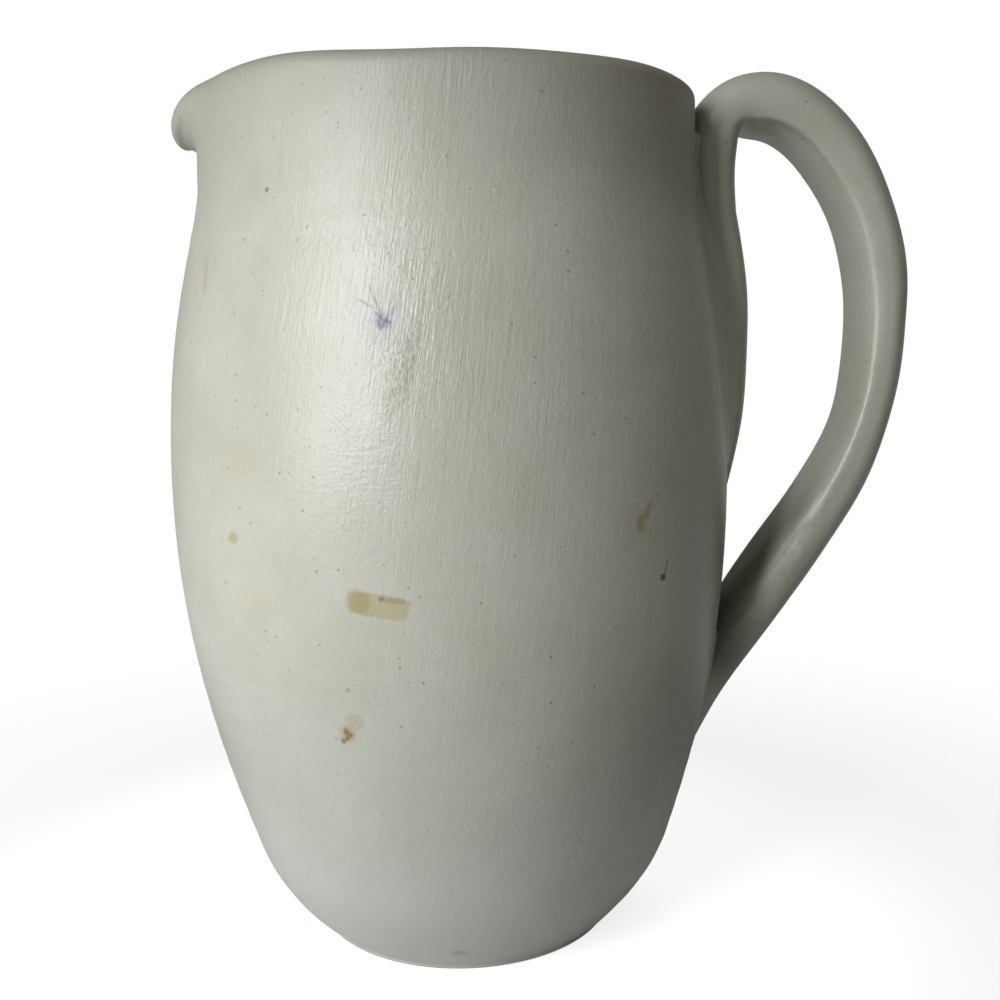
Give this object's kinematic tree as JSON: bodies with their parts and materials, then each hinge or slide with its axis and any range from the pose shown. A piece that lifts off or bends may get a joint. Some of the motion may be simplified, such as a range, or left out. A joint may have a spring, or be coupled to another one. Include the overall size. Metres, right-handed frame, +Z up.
{
  "type": "stoneware pitcher",
  "caption": "Pale glazed stoneware pitcher with a full rounded body, a pulled pouring lip and a strap handle luted to the wall, for holding and pouring drinks.",
  "frame": {"origin": "centre of the foot's flat resting face, on the turning axis", "axes": "+Z up along the turning axis, -X towards the pouring lip, +X towards the handle, +Y completes a right-handed frame"},
  "size_m": [0.1843, 0.1388, 0.213],
  "materials": {
    "pale_glaze": "satin grey-white stoneware glaze over a buff body, with fine brush strokes, specks and a few rust and buff stains; the foot is bare",
    "luting_slip": "fired clay slip, smoothed at the joint and covered by the same glaze"
  },
  "bodies": {
    "root": {"thrown_body": "pale_glaze", "strap_handle": "pale_glaze", "upper_luting_slip": "luting_slip", "lower_luting_slip": "luting_slip"}
  },
  "joints": []
}
